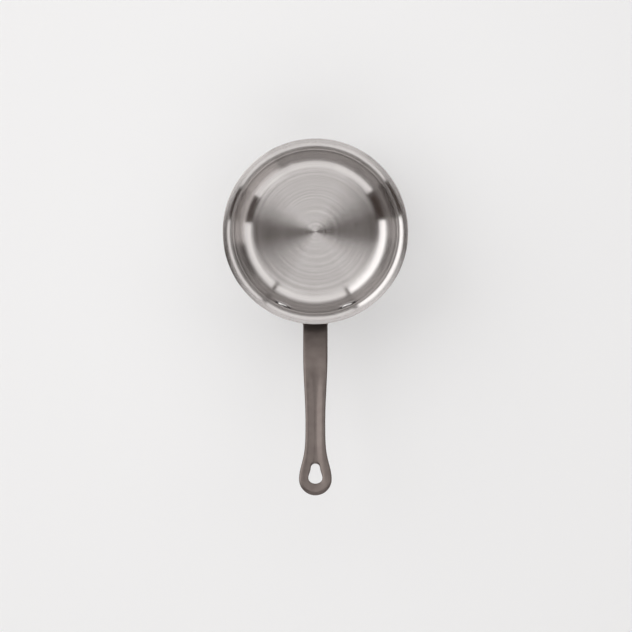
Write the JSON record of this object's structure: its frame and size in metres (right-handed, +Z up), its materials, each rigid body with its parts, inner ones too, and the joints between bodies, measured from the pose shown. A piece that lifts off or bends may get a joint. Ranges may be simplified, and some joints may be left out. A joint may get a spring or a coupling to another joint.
{
  "type": "butter warmer",
  "caption": "Small round clad saucepan with a flared pouring lip and a long riveted cast handle that ends in an eye with a pear-shaped hanging hole, for melting butter.",
  "frame": {"origin": "centre of the flat underside, on the pan's axis, where the pan stands", "axes": "+Z up along the pan's axis, the handle points along -Y, +X is to the right of someone who holds the handle"},
  "size_m": [0.125, 0.2401, 0.0815],
  "materials": {
    "lining_steel": "floor brushed in circles, satin wall, polished lip",
    "core_aluminium": "bare sheet, seen only at the cut edge of the lip",
    "shell_steel": "fine brushing round the wall",
    "handle_casting": "satin dark warm grey, smooth casting",
    "rivet_steel": "satin"
  },
  "bodies": {
    "root": {"inner_lining": "lining_steel", "aluminium_core": "core_aluminium", "outer_shell": "shell_steel", "handle": "handle_casting", "rivet_left": "rivet_steel", "rivet_right": "rivet_steel"}
  },
  "joints": []
}
